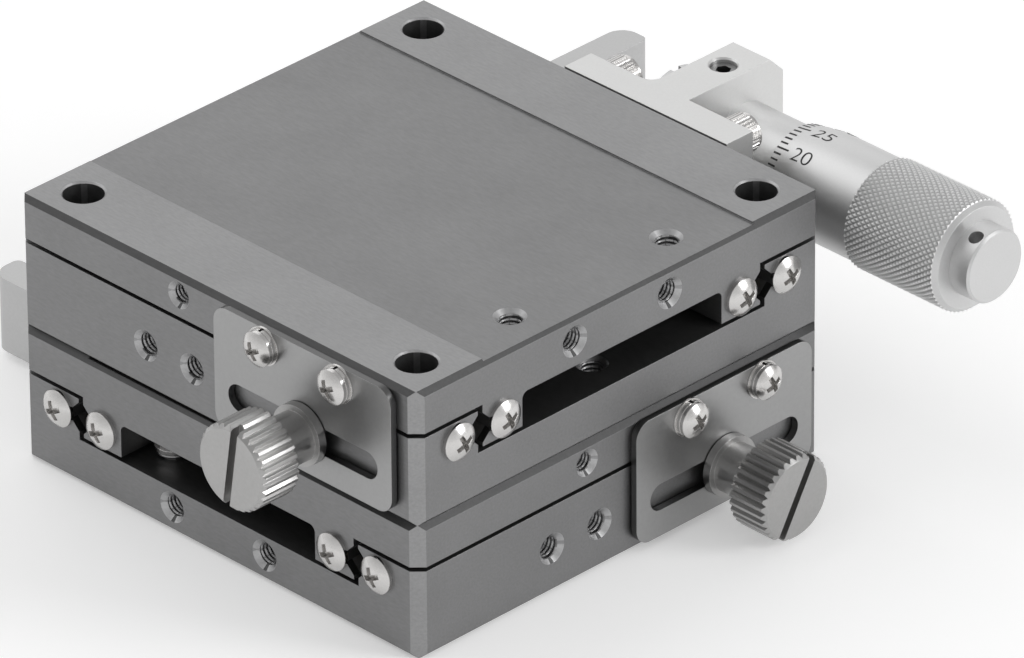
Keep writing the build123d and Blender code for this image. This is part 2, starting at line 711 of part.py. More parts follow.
def make_table_post():
    """Headed screw under the table that pulls the spring's other end."""
    neck_bottom = spring_height + spring_coil / 2 - spring_wire - post_clearance
    with BuildPart() as post:
        with BuildSketch(Plane.XY.offset(web_bottom)):
            with Locations((spring_far_x, spring_y)):
                Circle(m25_tap / 2 - thread_play)
        extrude(amount=web_height / 2)
        with BuildSketch(Plane.XY.offset(web_bottom)):
            with Locations((spring_far_x, spring_y)):
                Circle(post_neck / 2)
        extrude(amount=neck_bottom - web_bottom)
        with BuildSketch(Plane.XY.offset(neck_bottom)):
            with Locations((spring_far_x, spring_y)):
                Circle(plate_head / 2)
        extrude(amount=-post_head_height)
    return post.part


tap_shank = m25_tap - 2 * thread_play
end_screw = make_pan_screw(pan_head, tap_shank, end_screw_length)
lock_screw_length = washer_stack + lock_plate_thickness + tap_depth - screw_tip_gap
lock_screw = make_pan_screw(plate_head, tap_shank, lock_screw_length)
cap_screw = make_cap_screw(bar_thickness + tap_depth - screw_tip_gap)
anvil_screw = make_flat_screw(anvil_screw_length)
joining_screw = make_flat_screw(joining_screw_length)
end_screw_ends = ((-half_side, "-x"), (half_side, "+x"))
lock_spots = [(x, lock_face_y - washer_stack, lock_screw_z) for x in lock_screw_x]
thumb_spots = [(thumb_x, lock_face_y, thumb_height)]
cap_spots = [(x, bracket_face_y, side_screw_z) for x in bracket_tap_x]
anvil_spots = [(x, half_side + anvil_foot_thickness, side_tap_height) for x in side_tap_x]
joining_spots = [(x, y, floor_height) for x, y in joining_screw_spots]


def make_end_screws(offset_y):
    """Four pan head screws, two in each end face."""
    with BuildPart() as screws:
        for x, facing in end_screw_ends:
            with spots([(x, y, way_z) for y in (-offset_y, offset_y)], facing):
                add(end_screw)
    return screws.part


for stage in stages:
    pieces = {
        "base": make_base(stage == "x"),
        "table": make_table(stage == "y"),
        "base_end_screws": make_end_screws(base_end_screw_y),
        "table_end_screws": make_end_screws(table_end_screw_y),
        "ball_cages": make_cages(),
        "balls": make_balls(),
        "lock_plate": make_lock_plate(),
        "lock_plate_screws": group(lock_screw, lock_spots, "-y"),
        "lock_flat_washers": make_washers(flat_washer, flat_washer_thickness, 0, 0),
        "lock_spring_washers": make_washers(
            spring_washer, spring_washer_thickness, flat_washer_thickness, spring_washer_split
        ),
        "thumb_screw": group(make_thumb_screw(slot_tilt[stage]), thumb_spots, "-y"),
        "micrometer_bracket": make_bracket(),
        "bracket_screws": group(cap_screw, cap_spots, "+y"),
        "set_screw": make_set_screw(),
        "sleeve": make_sleeve(),
        "sleeve_nut": make_sleeve_nut(),
        "thimble": make_thimble(),
        "spindle": make_spindle(),
        "thimble_cap": make_thimble_cap(),
        "anvil": make_anvil(),
        "anvil_screws": group(anvil_screw, anvil_spots, "+y"),
        "return_spring": make_spring(),
        "spring_base_post": make_base_post(),
        "spring_table_post": make_table_post(),
    }
    for name, piece in pieces.items():
        write(piece.moved(stages[stage]), f"{stage}_{name}")

write(group(joining_screw, joining_spots, "+z").moved(stages["x"]), "x_joining_screws")
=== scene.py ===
# %% [markdown]
# # A two-axis micrometer stage
#
# The real object is a pair of small ground steel slides stacked crosswise. Each one has a micrometer
# head on one side and a knurled lock screw on the other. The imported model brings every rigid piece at
# its real size. This file gives those pieces their finishes, cuts the knurl, engraves the dial, winds
# the springs, threads the tapped holes, and sets the light and the camera.

import math

import bmesh
import bpy
from mathutils import Matrix, Vector


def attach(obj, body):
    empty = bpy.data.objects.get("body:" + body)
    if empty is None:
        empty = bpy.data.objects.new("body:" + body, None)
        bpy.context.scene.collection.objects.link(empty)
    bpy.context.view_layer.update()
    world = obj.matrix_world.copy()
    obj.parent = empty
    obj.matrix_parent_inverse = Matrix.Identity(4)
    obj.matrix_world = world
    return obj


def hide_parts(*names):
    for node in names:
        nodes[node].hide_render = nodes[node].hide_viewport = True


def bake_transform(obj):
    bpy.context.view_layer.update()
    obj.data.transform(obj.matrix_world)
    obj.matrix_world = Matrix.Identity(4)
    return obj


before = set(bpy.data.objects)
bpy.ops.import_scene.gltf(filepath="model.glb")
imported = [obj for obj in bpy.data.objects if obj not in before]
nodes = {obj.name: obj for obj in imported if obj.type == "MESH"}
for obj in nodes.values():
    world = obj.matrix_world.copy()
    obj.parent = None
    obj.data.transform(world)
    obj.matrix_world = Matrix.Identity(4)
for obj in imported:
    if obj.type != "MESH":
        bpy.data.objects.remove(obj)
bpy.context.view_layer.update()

# %% [markdown]
# ## The camera
#
# The photograph is taken with a long lens from the front corner, 45 degrees round and 30 degrees up,
# so the plate's edges run almost parallel. A camera is placed by the direction it looks from and by
# its distance. A long distance and a long lens together give that flat look.

# %% Point a long lens at the front corner
image_width, sensor_width = 1024, 36.0
azimuth, elevation, roll = math.radians(45.426), math.radians(30.278), math.radians(-0.427)
distance, lens_pixels = 1.3805, 12987.1
shift_right, shift_up = 0.009569, 0.013074
nearest, farthest = 0.05, 20.0

level_reach = math.cos(elevation)
back = Vector((math.sin(azimuth) * level_reach, -math.cos(azimuth) * level_reach, math.sin(elevation)))
right = Vector((math.cos(azimuth), math.sin(azimuth), 0.0))
up = back.cross(right)
eye = back * distance + right * shift_right + up * shift_up
camera_right = right * math.cos(roll) + up * math.sin(roll)
camera_up = up * math.cos(roll) - right * math.sin(roll)

camera_data = bpy.data.cameras.new("photo_camera")
camera_data.sensor_width = sensor_width
camera_data.lens = lens_pixels / image_width * sensor_width
camera_data.clip_start, camera_data.clip_end = nearest, farthest
camera = bpy.data.objects.new("photo_camera", camera_data)
bpy.context.scene.collection.objects.link(camera)
turned = Matrix((camera_right, camera_up, back)).transposed().to_4x4()
camera.matrix_world = Matrix.Translation(eye) @ turned
bpy.context.scene.camera = camera
print("Lens:", round(camera_data.lens, 1), "mm at", round(distance, 2), "m")

# %% [markdown]
# ## Floor, backdrop and light
#
# Metal shows what stands around it, so the light here is mostly large and soft. A white world would
# make every face of a steel block the same, and a sky that is paler near the horizon than overhead
# gives each face its own level. The floor is pale and keeps the object's shadow. It looks white to
# the camera and in reflections through Light Path, not by shining more light on the object.

# %% Build the pale floor
floor_size, floor_gray, floor_glow = 8.0, 0.8, 0.32
floor_mesh = bpy.data.meshes.new("floor")
half_floor = floor_size / 2
floor_mesh.from_pydata([(-half_floor, -half_floor, 0), (half_floor, -half_floor, 0),
                        (half_floor, half_floor, 0), (-half_floor, half_floor, 0)], [], [(0, 1, 2, 3)])
floor = bpy.data.objects.new("floor", floor_mesh)
bpy.context.scene.collection.objects.link(floor)


def new_material(name):
    """An empty node material, with its node tree and its output."""
    material = bpy.data.materials.new(name)
    material.use_nodes = True
    tree = material.node_tree
    tree.nodes.clear()
    return material, tree, tree.nodes.new("ShaderNodeOutputMaterial")


floor_material, tree, output = new_material("pale_floor")
paper = tree.nodes.new("ShaderNodeBsdfDiffuse")
paper.inputs["Color"].default_value = (floor_gray, floor_gray, floor_gray, 1)
glow = tree.nodes.new("ShaderNodeEmission")
glow.inputs["Color"].default_value = (1, 1, 1, 1)
glow.inputs["Strength"].default_value = floor_glow
both = tree.nodes.new("ShaderNodeAddShader")
seen = tree.nodes.new("ShaderNodeMixShader")
path = tree.nodes.new("ShaderNodeLightPath")
mirrored = tree.nodes.new("ShaderNodeMath")
mirrored.operation = "MAXIMUM"
tree.links.new(paper.outputs[0], both.inputs[0])
tree.links.new(glow.outputs[0], both.inputs[1])
tree.links.new(path.outputs["Is Camera Ray"], mirrored.inputs[0])
tree.links.new(path.outputs["Is Glossy Ray"], mirrored.inputs[1])
tree.links.new(mirrored.outputs[0], seen.inputs[0])
tree.links.new(paper.outputs[0], seen.inputs[1])
tree.links.new(both.outputs[0], seen.inputs[2])
tree.links.new(seen.outputs[0], output.inputs["Surface"])
floor_mesh.materials.append(floor_material)

# %% Light it with a soft sky and three large lamps
horizon_gray, overhead_gray, overhead_height = 0.9, 0.5, 0.75
world = bpy.data.worlds.new("studio")
bpy.context.scene.world = world
world.use_nodes = True
sky = world.node_tree
sky.nodes.clear()
direction = sky.nodes.new("ShaderNodeTexCoord")
split = sky.nodes.new("ShaderNodeSeparateXYZ")
height_ramp = sky.nodes.new("ShaderNodeValToRGB")
horizon, overhead = height_ramp.color_ramp.elements
horizon.position, horizon.color = 0.0, (horizon_gray, horizon_gray, horizon_gray, 1)
overhead.position, overhead.color = overhead_height, (overhead_gray, overhead_gray, overhead_gray, 1)
soft = sky.nodes.new("ShaderNodeBackground")
white = sky.nodes.new("ShaderNodeBackground")
white.inputs["Color"].default_value = (1, 1, 1, 1)
white.inputs["Strength"].default_value = 1.0
choose = sky.nodes.new("ShaderNodeMixShader")
sky_path = sky.nodes.new("ShaderNodeLightPath")
sky_output = sky.nodes.new("ShaderNodeOutputWorld")
sky.links.new(direction.outputs["Generated"], split.inputs[0])
sky.links.new(split.outputs["Z"], height_ramp.inputs["Fac"])
sky.links.new(height_ramp.outputs["Color"], soft.inputs["Color"])
sky.links.new(sky_path.outputs["Is Camera Ray"], choose.inputs[0])
sky.links.new(soft.outputs[0], choose.inputs[1])
sky.links.new(white.outputs[0], choose.inputs[2])
sky.links.new(choose.outputs[0], sky_output.inputs["Surface"])


lamp_target = Vector((0, 0, 0.01))


def soft_lamp(name, place, size, power):
    """A square area lamp that faces the object."""
    data = bpy.data.lights.new(name, "AREA")
    data.shape = "SQUARE"
    data.size = size
    data.energy = power
    lamp = bpy.data.objects.new(name, data)
    bpy.context.scene.collection.objects.link(lamp)
    lamp.location = place
    lamp.rotation_euler = (lamp_target - Vector(place)).to_track_quat("-Z", "Y").to_euler()
    return lamp


soft_lamp("left_softbox", (-0.55, -0.1, 0.7), 0.7, 1.7)
soft_lamp("back_softbox", (-0.6, 0.6, 0.5), 0.6, 0.6)
soft_lamp("right_softbox", (0.75, 0.45, 0.4), 0.35, 3.0)

scene = bpy.context.scene
scene.view_settings.view_transform = "Standard"

# %% [markdown]
# ## Finishes
#
# The plates are surface ground tool steel: a mid grey with fine short streaks and small bright
# scratches. The screws and knobs are nickel plated, and the micrometers have a satin chrome that is
# blasted very fine. One shared effect, the grinding streaks, is a node group, so each metal can have
# its own size and strength of it. Corners catch the light because a real edge is never quite sharp:
# the Bevel node rounds them for the shader alone.

# %% Make the shared streak effect
coarse_scale = 110.0


def noise_node(tree, scale, detail, roughness):
    """A noise texture with a seed."""
    node = tree.nodes.new("ShaderNodeTexNoise")
    node.noise_dimensions = "4D"
    node.inputs["Scale"].default_value = scale
    node.inputs["Detail"].default_value = detail
    node.inputs["Roughness"].default_value = roughness
    return node


grain_group = bpy.data.node_groups.new("grinding_streaks", "ShaderNodeTree")
sockets = grain_group.interface
sockets.new_socket("Fineness", in_out="INPUT", socket_type="NodeSocketVector")
sockets.new_socket("Seed", in_out="INPUT", socket_type="NodeSocketFloat")
sockets.new_socket("Streaks", in_out="OUTPUT", socket_type="NodeSocketFloat")
sockets.new_socket("Patches", in_out="OUTPUT", socket_type="NodeSocketFloat")
grain_in = grain_group.nodes.new("NodeGroupInput")
grain_out = grain_group.nodes.new("NodeGroupOutput")
grain_place = grain_group.nodes.new("ShaderNodeTexCoord")
stretched = grain_group.nodes.new("ShaderNodeVectorMath")
stretched.operation = "MULTIPLY"
fine_noise = noise_node(grain_group, 1.0, 4.0, 0.65)
coarse_noise = noise_node(grain_group, coarse_scale, 5.0, 0.55)
link = grain_group.links.new
link(grain_place.outputs["Object"], stretched.inputs[0])
link(grain_in.outputs["Fineness"], stretched.inputs[1])
link(stretched.outputs[0], fine_noise.inputs["Vector"])
link(grain_in.outputs["Seed"], fine_noise.inputs["W"])
link(grain_place.outputs["Object"], coarse_noise.inputs["Vector"])
link(grain_in.outputs["Seed"], coarse_noise.inputs["W"])
link(fine_noise.outputs["Fac"], grain_out.inputs["Streaks"])
link(coarse_noise.outputs["Fac"], grain_out.inputs["Patches"])
print("Group sockets:", [item.name for item in sockets.items_tree])

# %% [markdown]
# ## Painted edge light, and the lighter strips
#
# The chamfer round a plate's rim looks darker than the faces, the cut upright corner looks lighter,
# and the mouth of each hole is a bright ring. That is how the light falls on faces that look those
# ways, and here it is painted into the colour: painted shade on the rim chamfers, painted highlight on
# the upright corners and the hole mouths. The two raised strips beside the top's recess have a lighter
# finish than the recess. The cut edge of each sheet steel lock plate is darker than its face: painted
# shade that stands for the shadowed gap between the plate and the table. A picture could hold this,
# but then it would fit only one plate. Here each mask is worked out from the direction a face looks in
# and from its place on the plate, so one finish serves all four plates and stays right when the
# camera moves.


# %% A short way to write maths in nodes
def math_node(tree, operation, *values):
    """A math node fed by sockets or plain numbers, given by its output."""
    node = tree.nodes.new("ShaderNodeMath")
    node.operation = operation
    for socket, value in zip(node.inputs, values):
        if isinstance(value, bpy.types.NodeSocket):
            tree.links.new(value, socket)
        else:
            socket.default_value = value
    return node.outputs[0]


# %% Make the masks for painted edge light and the lighter strips
half_slope, slope_play, square_play = math.sqrt(0.5), 0.1, 0.1
rim_reach, strip_reach, strip_height = 0.0291, 0.0199, 0.0315
edge_names = ("Rim", "Upright", "Countersink", "Strip", "Sheet edge")

edge_group = bpy.data.node_groups.new("painted_edge_light_and_strips", "ShaderNodeTree")
for socket_name in edge_names:
    edge_group.interface.new_socket(socket_name, in_out="OUTPUT", socket_type="NodeSocketFloat")
edge_out = edge_group.nodes.new("NodeGroupOutput")
edge_place = edge_group.nodes.new("ShaderNodeTexCoord")


def mask(operation, *values):
    """A math node in the edge group."""
    return math_node(edge_group, operation, *values)


def absolute_parts(source_name):
    """The sizes of a vector's three parts, without their signs."""
    splitter = edge_group.nodes.new("ShaderNodeSeparateXYZ")
    edge_group.links.new(edge_place.outputs[source_name], splitter.inputs[0])
    return [mask("ABSOLUTE", splitter.outputs[axis]) for axis in "XYZ"]


normal_x, normal_y, normal_z = normal_parts = absolute_parts("Normal")
place_x, place_y, place_z = absolute_parts("Object")
sloped_x, sloped_y, sloped_z = [mask("COMPARE", part, half_slope, slope_play) for part in normal_parts]
at_rim = mask("GREATER_THAN", mask("MAXIMUM", place_x, place_y), rim_reach)
square_on = mask("LESS_THAN", mask("MINIMUM", normal_x, normal_y), square_play)
looks_sideways = mask("LESS_THAN", normal_z, square_play)
looks_up = mask("GREATER_THAN", normal_z, 1 - square_play)

# Painted shade: the rim chamfers, sloped 45 degrees near a plate's rim, are marked for darkening.
rim = mask("MULTIPLY", mask("MULTIPLY", sloped_z, at_rim), square_on)
# Painted highlight: the upright corner chamfers are marked for lightening.
cut_corner = mask("MULTIPLY", sloped_x, sloped_y)
upright = mask("MULTIPLY", cut_corner, mask("MULTIPLY", at_rim, looks_sideways))
# Painted highlight: every other 45 degree face, such as a hole's mouth, is marked for lightening.
any_slope = mask("MAXIMUM", mask("MAXIMUM", sloped_x, sloped_y), sloped_z)
countersink = mask("SUBTRACT", any_slope, mask("MAXIMUM", rim, upright))
high_up = mask("GREATER_THAN", place_z, strip_height)
strip = mask("MULTIPLY", mask("GREATER_THAN", place_y, strip_reach), mask("MULTIPLY", high_up, looks_up))
# Painted shade: faces of a lock plate that do not look straight out, its cut edges, are marked for
# darkening, standing for the shadowed gap between the plate and the table.
beside_x = mask("GREATER_THAN", place_x, place_y)
beside_y = mask("SUBTRACT", 1.0, beside_x)
sheet_face = mask("ADD", mask("MULTIPLY", beside_x, normal_x), mask("MULTIPLY", beside_y, normal_y))
sheet_edge = mask("SUBTRACT", 1.0, sheet_face)
for socket_name, result in zip(edge_names, (rim, upright, countersink, strip, sheet_edge)):
    edge_group.links.new(result, edge_out.inputs[socket_name])
print("Edge masks:", [item.name for item in edge_group.interface.items_tree])


# %% Make a metal from the streaks
noise_low, noise_high = 0.3, 0.7
patch_share, gloss_play = 0.5, 0.06
streak_depth, edge_radius, bevel_samples = 0.00002, 0.0001, 4


def spread(tree, noise, middle, reach, low, high):
    """A noise value mapped from low and high to either side of a middle."""
    node = tree.nodes.new("ShaderNodeMapRange")
    node.inputs["From Min"].default_value, node.inputs["From Max"].default_value = low, high
    node.inputs["To Min"].default_value, node.inputs["To Max"].default_value = middle - reach, middle + reach
    tree.links.new(noise, node.inputs["Value"])
    return node.outputs["Result"]


def ground_metal(name, color, roughness, fineness, contrast, bump, seed=0.0, tones=None, groove=0.0):
    """A metal with streaked colour and roughness and edges rounded for the light; where asked, painted shade
    and highlight on its edges and knurl, and a lighter finish on the strips.
    """
    material, tree, output = new_material(name)
    new, link = tree.nodes.new, tree.links.new
    metal = new("ShaderNodeBsdfPrincipled")
    metal.inputs["Metallic"].default_value = 1.0
    streaks = new("ShaderNodeGroup")
    streaks.node_tree = grain_group
    streaks.inputs["Fineness"].default_value = fineness
    streaks.inputs["Seed"].default_value = seed
    tone = spread(tree, streaks.outputs["Streaks"], 1, contrast, noise_low, noise_high)
    patch = spread(tree, streaks.outputs["Patches"], 1, contrast * patch_share, noise_low, noise_high)
    brightness = math_node(tree, "MULTIPLY", tone, patch)
    # Painted shade and painted highlight on edges, and the strips' own lighter finish, scale the colour
    # through the masks.
    if tones:
        edges = new("ShaderNodeGroup")
        edges.node_tree = edge_group
        factor = 1.0
        for socket_name, change in tones.items():
            factor = math_node(tree, "MULTIPLY_ADD", edges.outputs[socket_name], change, factor)
        brightness = math_node(tree, "MULTIPLY", brightness, factor)
    # Painted shade in the knurl's grooves and painted highlight on its tips, read from a number on each
    # vertex.
    if groove:
        depth = new("ShaderNodeAttribute")
        depth.attribute_name = "groove"
        factor = math_node(tree, "MULTIPLY_ADD", depth.outputs["Fac"], -groove, 1.0)
        brightness = math_node(tree, "MULTIPLY", brightness, factor)
    tint = new("ShaderNodeVectorMath")
    tint.operation = "SCALE"
    tint.inputs[0].default_value = color
    relief = new("ShaderNodeBump")
    relief.inputs["Strength"].default_value = bump
    relief.inputs["Distance"].default_value = streak_depth
    rounded = new("ShaderNodeBevel")
    rounded.samples = bevel_samples
    rounded.inputs["Radius"].default_value = edge_radius
    gloss = spread(tree, streaks.outputs["Streaks"], roughness, gloss_play, 0.0, 1.0)
    link(brightness, tint.inputs["Scale"])
    link(tint.outputs["Vector"], metal.inputs["Base Color"])
    link(gloss, metal.inputs["Roughness"])
    link(streaks.outputs["Streaks"], relief.inputs["Height"])
    link(rounded.outputs["Normal"], relief.inputs["Normal"])
    link(relief.outputs["Normal"], metal.inputs["Normal"])
    link(metal.outputs[0], output.inputs["Surface"])
    return material


# %% Mix the metals, each with its colour, roughness, streak sizes, contrast and relief
# Painted shade on rim chamfers and lock plate edges, painted highlight on upright corners and hole mouths;
# the strips get their own lighter finish.
plate_tones = {"Rim": -0.62, "Upright": 0.3, "Countersink": 0.9, "Strip": 0.28}
sheet_tones = {"Sheet edge": -0.6}
plate_steel = ground_metal("ground_plate_steel", (0.235, 0.235, 0.237), 0.42, (900, 3500, 3500),
                           0.10, 0.12, tones=plate_tones)
lock_steel = ground_metal("satin_sheet_steel", (0.36, 0.36, 0.36), 0.36, (2500, 2500, 2500),
                          0.04, 0.05, seed=2.0, tones=sheet_tones)
nickel = ground_metal("bright_nickel", (0.62, 0.61, 0.6), 0.22, (3000, 3000, 3000),
                      0.04, 0.03, seed=3.0)
knob_nickel = ground_metal("satin_nickel", (0.4, 0.397, 0.393), 0.3, (3000, 3000, 3000),
                           0.05, 0.05, seed=4.0)
# The chrome takes the knurl's painted shade and painted highlight at this strength.
chrome = ground_metal("satin_chrome", (0.63, 0.63, 0.63), 0.46, (4000, 4000, 4000),
                      0.03, 0.06, seed=5.0, groove=0.3)
bracket_silver = ground_metal("bead_blasted_nickel", (0.66, 0.66, 0.655), 0.4, (3500, 3500, 3500),
                              0.03, 0.05, seed=6.0)
anvil_silver = ground_metal("satin_anvil_steel", (0.5, 0.5, 0.5), 0.4, (3000, 3000, 3000),
                            0.04, 0.05, seed=7.0)
dark_steel = ground_metal("dark_screw_steel", (0.24, 0.24, 0.24), 0.35, (3000, 3000, 3000),
                          0.06, 0.05, seed=8.0)
ball_steel = ground_metal("polished_ball_steel", (0.7, 0.7, 0.7), 0.08, (2000, 2000, 2000),
                          0.01, 0.0, seed=9.0)
brass = ground_metal("rolled_brass", (0.55, 0.42, 0.2), 0.35, (800, 4000, 4000),
                     0.06, 0.05, seed=10.0)
wire_steel = ground_metal("spring_wire_steel", (0.4, 0.4, 0.4), 0.3, (3000, 3000, 3000),
                          0.05, 0.03, seed=11.0)

# %% Give each CAD piece its finish
finishes = {
    "base": plate_steel, "table": plate_steel, "base_end_screws": nickel, "table_end_screws": nickel,
    "ball_cages": brass, "balls": ball_steel, "lock_plate": lock_steel, "lock_plate_screws": nickel,
    "lock_flat_washers": nickel, "lock_spring_washers": nickel,
    "thumb_screw": knob_nickel, "micrometer_bracket": bracket_silver, "bracket_screws": nickel,
    "set_screw": dark_steel, "sleeve": chrome, "sleeve_nut": chrome, "thimble": chrome, "spindle": chrome,
    "thimble_cap": chrome, "anvil": anvil_silver, "anvil_screws": dark_steel, "return_spring": wire_steel,
    "spring_base_post": nickel, "spring_table_post": nickel, "joining_screws": dark_steel,
}
for node, obj in nodes.items():
    obj.data.materials.clear()
    obj.data.materials.append(finishes[node[2:]])
print("Finished nodes:", len(nodes))

# %% [markdown]
# ## Working in one slide's own frame
#
# Both slides are the same, and the lower one is only turned a quarter turn. So every small piece is
# worked out once in millimetres in a slide's own frame, with X along its travel, and a matrix puts it
# on the lower slide (y) or on the upper one (x).

# %% Matrices from a slide's millimetres to the object's metres
slide_height = 16.0
millimetre = Matrix.Scale(0.001, 4)
slide_place = {
    "y": millimetre @ Matrix.Rotation(math.radians(90), 4, "Z"),
    "x": millimetre @ Matrix.Translation((0, 0, slide_height)),
}
fixed_body = {"y": "root", "x": "y_carriage"}
moving_body = {"y": "y_carriage", "x": "x_carriage"}
drum_axis_y, drum_axis_z = 42.1, 7.1


def on_drum(along, radius, angle):
    """A point beside a micrometer's axis. The angle goes from +Y towards +Z, in degrees."""
    turn = math.radians(angle)
    return Vector((along, drum_axis_y + radius * math.cos(turn), drum_axis_z + radius * math.sin(turn)))


def make_piece(name, slide, vertices, faces, finish, body, smooth=False):
    """A mesh piece given in a slide's millimetres, finished and riding on its body."""
    mesh = bpy.data.meshes.new(name)
    mesh.from_pydata([slide_place[slide] @ Vector(point) for point in vertices], [], faces)
    mesh.validate()
    mesh.materials.append(finish)
    for polygon in mesh.polygons:
        polygon.use_smooth = smooth
    piece = bpy.data.objects.new(name, mesh)
    bpy.context.scene.collection.objects.link(piece)
    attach(piece, body)
    return piece


print("Upper slide at", [round(value, 4) for value in slide_place["x"].translation])

# %% [markdown]
# ## The knurled thimble
#
# A diamond knurl is two families of V grooves that wind round the grip in opposite directions and
# leave small pyramids. Bump shading would leave the grip's outline smooth, so the pyramids are real
# here. Take a fine grid on the cylinder and colour it like a chessboard: black corners are pushed
# down and white ones stay up. When each square is split between its two low corners, the low edges
# join into both families of grooves. The whole thimble is one lathe of rings with as many points
# round as the knurl has, so the knurl is part of the same closed mesh. Each corner also carries a
# number that the chrome reads as darker or brighter: painted shade in the grooves and painted
# highlight on the tips.

# %% Turn the thimble's rings and cut its knurl
starts = 60
around = 2 * starts
grip_start, grip_end, grip_radius, knurl_depth = 27.5, 40.1, 6.45, 0.2
row_pitch, first_row = 0.45, 0.02
drum_front, bevel_end, drum_radius, front_radius, drum_bore = 14.5, 18.5, 6.05, 5.475, 5.03
end_face, end_wall, spindle_radius = 40.7, 39.1, 2.4
front_break, grip_break, grip_drop, end_drop = 0.08, 0.05, 0.2, 0.62
# Painted shade for the groove corners, painted highlight for the tip corners.
groove_painted_shade, tip_painted_highlight = 1.0, -1.8

knurl_rows = int(round((grip_end - grip_start) / row_pitch))
rings = [(drum_front, drum_bore, 0), (drum_front, front_radius - front_break, 0),
         (drum_front + front_break, front_radius, 0), (bevel_end, drum_radius, 0),
         (grip_start, drum_radius, 0), (grip_start, grip_radius - knurl_depth, 0)]
for row in range(knurl_rows + 1):
    along = grip_start + first_row + (grip_end - grip_start - first_row) * row / knurl_rows
    rings.append((along, grip_radius, 1 + row % 2))
rings += [(grip_end + grip_break, grip_radius - grip_drop, 0), (end_face, grip_radius - end_drop, 0),
          (end_face, spindle_radius, 0), (end_wall, spindle_radius, 0), (end_wall, drum_bore, 0)]


def thimble_mesh():
    """Vertices, faces, which faces lie in the knurl, and each vertex's painted shade in the grooves and
    painted highlight on the tips.
    """
    vertices, faces, in_knurl, shades = [], [], [], []
    for along, radius, parity in rings:
        for step in range(around):
            low = parity and (step + parity) % 2 == 0
            vertices.append(on_drum(along, radius - (knurl_depth if low else 0), 360 * step / around))
            shades.append((groove_painted_shade if low else tip_painted_highlight) if parity else 0.0)
    for ring in range(len(rings)):
        after = (ring + 1) % len(rings)
        knurled = rings[ring][2] and rings[after][2]
        for step in range(around):
            beside = (step + 1) % around
            near, near_beside = ring * around + step, ring * around + beside
            far, far_beside = after * around + step, after * around + beside
            if not knurled:
                faces.append((near, near_beside, far_beside, far))
            elif (step + rings[ring][2]) % 2 == 0:
                faces += [(near, near_beside, far_beside), (near, far_beside, far)]
            else:
                faces += [(near, near_beside, far), (near_beside, far_beside, far)]
            in_knurl += [True, True] if knurled else [False]
    return vertices, faces, in_knurl, shades


def sharpen(mesh, limit):
    """Keep edges sharper than the limit, in degrees, crisp in smooth shading."""
    work = bmesh.new()
    work.from_mesh(mesh)
    bmesh.ops.recalc_face_normals(work, faces=work.faces)
    for edge in work.edges:
        edge.smooth = len(edge.link_faces) == 2 and edge.calc_face_angle() < math.radians(limit)
    work.to_mesh(mesh)
    work.free()


smooth_limit = 25
knurl_vertices, knurl_faces, knurl_mask, knurl_painted_light = thimble_mesh()
for slide in ("y", "x"):
    thimble = make_piece(f"{slide}_knurled_thimble", slide, knurl_vertices, knurl_faces,
                         chrome, f"{slide}_thimble")
    for polygon, knurled in zip(thimble.data.polygons, knurl_mask):
        polygon.use_smooth = not knurled
    sharpen(thimble.data, smooth_limit)
    # Each vertex carries its painted shade in the grooves and painted highlight on the tips.
    thimble.data.attributes.new("groove", "FLOAT", "POINT").data.foreach_set("value", knurl_painted_light)
    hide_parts(f"{slide}_thimble")
print("Thimble faces:", len(knurl_faces), "knurl rows:", knurl_rows)

# %% [markdown]
# ## The dial
#
# Fifty lines stand round the bevelled edge, a longer one at every fifth with its number. On the real
# thimble they are engraved and filled with black paint. A painted texture would need an unwrapped
# surface. Thin inlays laid on the metal stay sharp at any distance and turn with the thimble, so the
# lines are flat bars on the cone, and the numbers are text bent round the drum.

# %% Mix the black filling
ink_gray, speckle_scale, matt_low, matt_high = 0.02, 9000.0, 0.45, 0.75
ink, tree, output = new_material("black_engraving_paint")
paint = tree.nodes.new("ShaderNodeBsdfPrincipled")
paint.inputs["Base Color"].default_value = (ink_gray, ink_gray, ink_gray, 1)
speckle = tree.nodes.new("ShaderNodeTexNoise")
speckle.inputs["Scale"].default_value = speckle_scale
matt = tree.nodes.new("ShaderNodeMapRange")
matt.inputs["To Min"].default_value, matt.inputs["To Max"].default_value = matt_low, matt_high
place = tree.nodes.new("ShaderNodeTexCoord")
tree.links.new(place.outputs["Object"], speckle.inputs["Vector"])
tree.links.new(speckle.outputs["Fac"], matt.inputs["Value"])
tree.links.new(matt.outputs["Result"], paint.inputs["Roughness"])
tree.links.new(paint.outputs[0], output.inputs["Surface"])

# %% Lay fifty lines on the bevel
divisions, lines_per_number = 50, 5
seen_value, seen_angle = 20, 126.0
step_angle = 360 / divisions
line_width, line_rise, line_sink = 0.21, 0.012, 0.03
short_line, long_line, line_gap = 1.1, 1.8, 0.1


def dial_angle(value):
    """The angle round the drum at which a dial value stands."""
    return seen_angle - (value - seen_value) * step_angle


def cone_radius(along):
    """The thimble's outer radius at a place along its axis."""
    share = min(max((along - drum_front) / (bevel_end - drum_front), 0), 1)
    return front_radius + share * (drum_radius - front_radius)


def bar_on_drum(start, end, angle, width, radius_at):
    """A thin closed bar along the axis, lying on a round surface."""
    vertices = []
    for along in (start, end):
        radius = radius_at(along)
        half_turn = math.degrees(width / 2 / radius)
        for side in (-1, 1):
            for lift in (-line_sink, line_rise):
                vertices.append(on_drum(along, radius + lift, angle + side * half_turn))
    faces = [(0, 1, 3, 2), (4, 6, 7, 5), (0, 4, 5, 1), (2, 3, 7, 6), (1, 5, 7, 3), (0, 2, 6, 4)]
    return vertices, faces


def join_solids(solids):
    """One vertex list and one face list from several."""
    vertices, faces = [], []
    for more_vertices, more_faces in solids:
        start = len(vertices)
        vertices += more_vertices
        faces += [tuple(index + start for index in face) for face in more_faces]
    return vertices, faces


